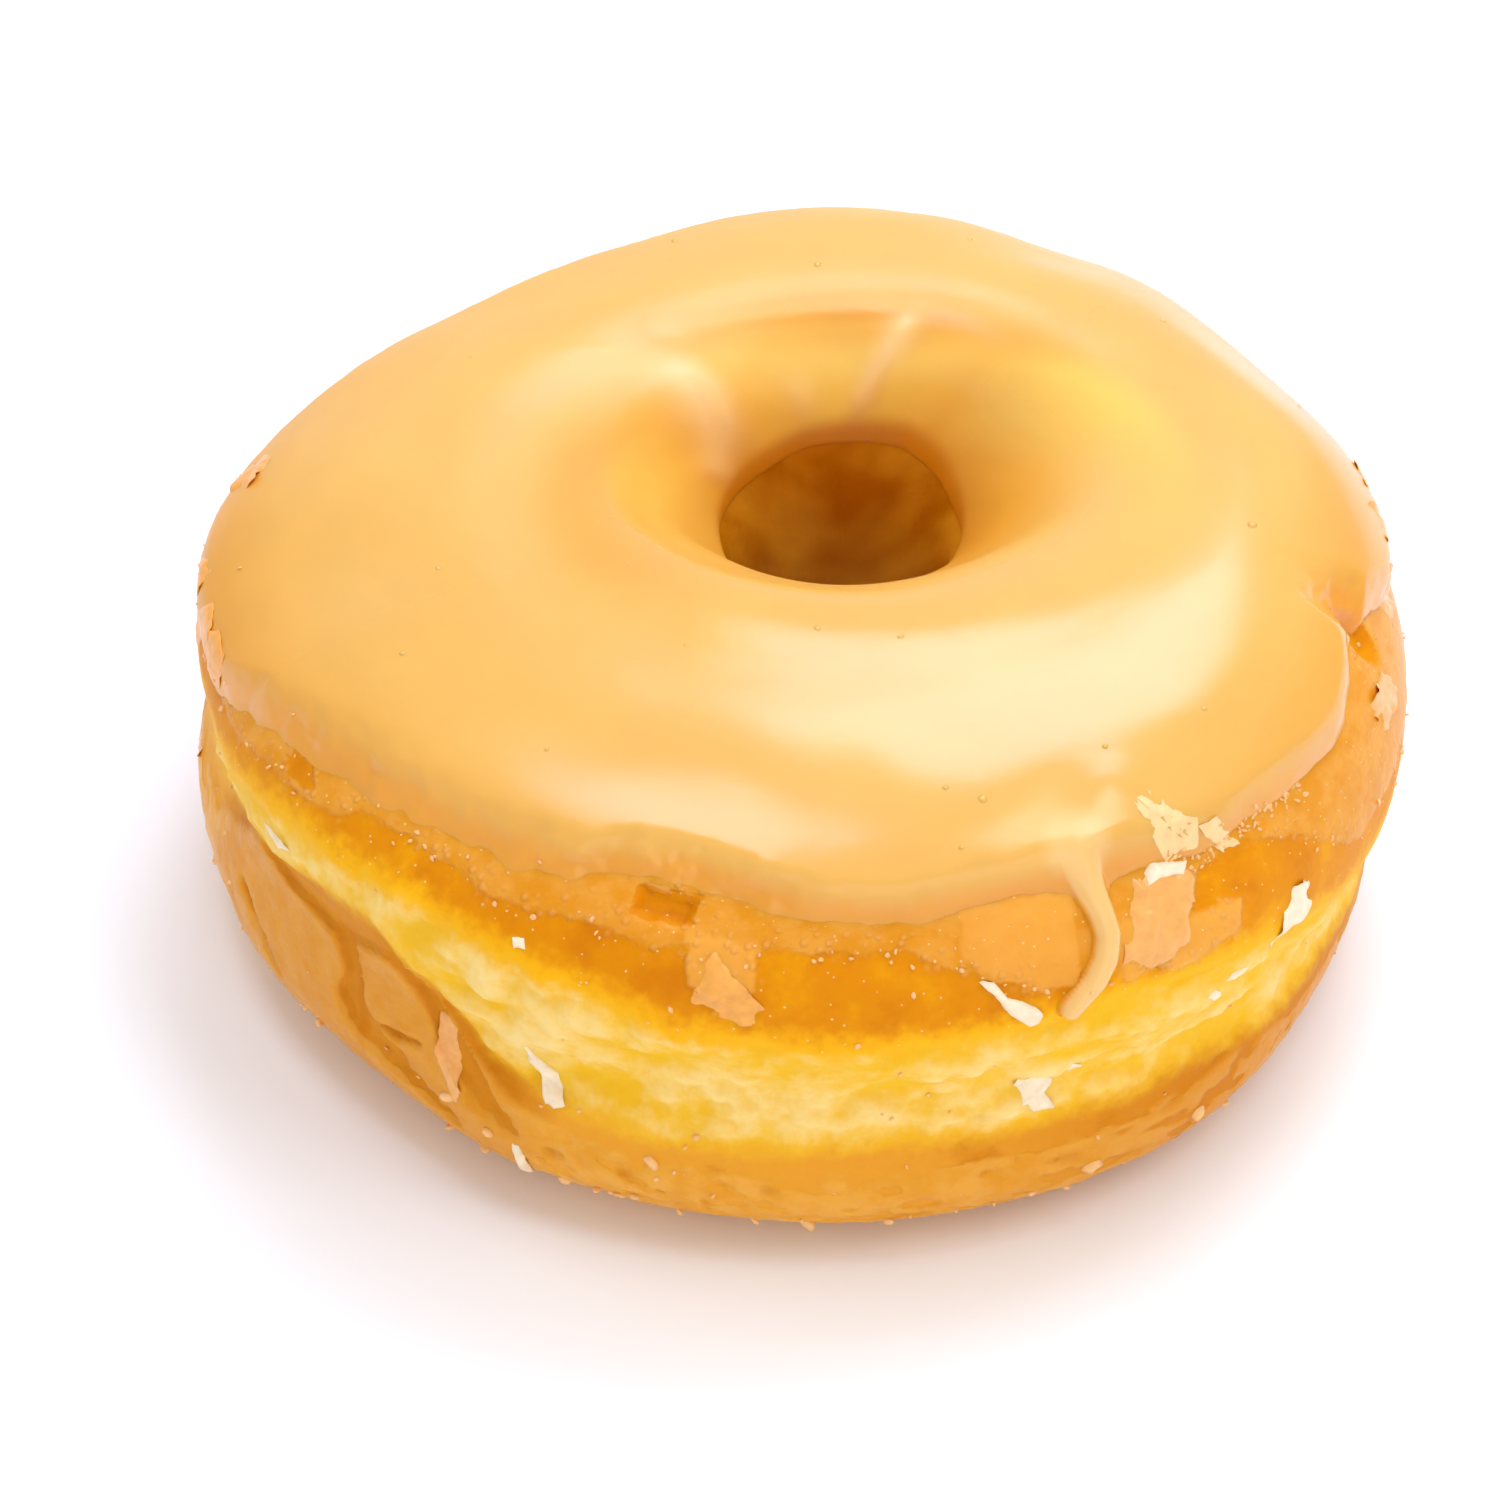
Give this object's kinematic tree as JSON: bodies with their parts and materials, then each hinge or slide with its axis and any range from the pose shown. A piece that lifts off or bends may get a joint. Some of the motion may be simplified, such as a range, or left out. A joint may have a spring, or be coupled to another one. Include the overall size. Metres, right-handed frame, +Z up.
{
  "type": "ring doughnut",
  "caption": "Yeast-raised ring doughnut with a pale proof line round its side and a maple-coloured icing cap that runs into the hole and down one drip.",
  "frame": {"origin": "on the surface the doughnut stands on, under the middle of its outline", "axes": "+Z up through the hole; -Y faces the side with the drip and the torn glaze"},
  "size_m": [0.0964, 0.0942, 0.0408],
  "materials": {
    "dough": "fried yeast dough: golden brown crust with a pale yellow proof line and a thin cracked sugar glaze",
    "icing": "set maple fondant icing, smooth and softly glossy"
  },
  "bodies": {
    "root": {"dough_ring": "dough", "maple_icing": "icing"}
  },
  "joints": []
}
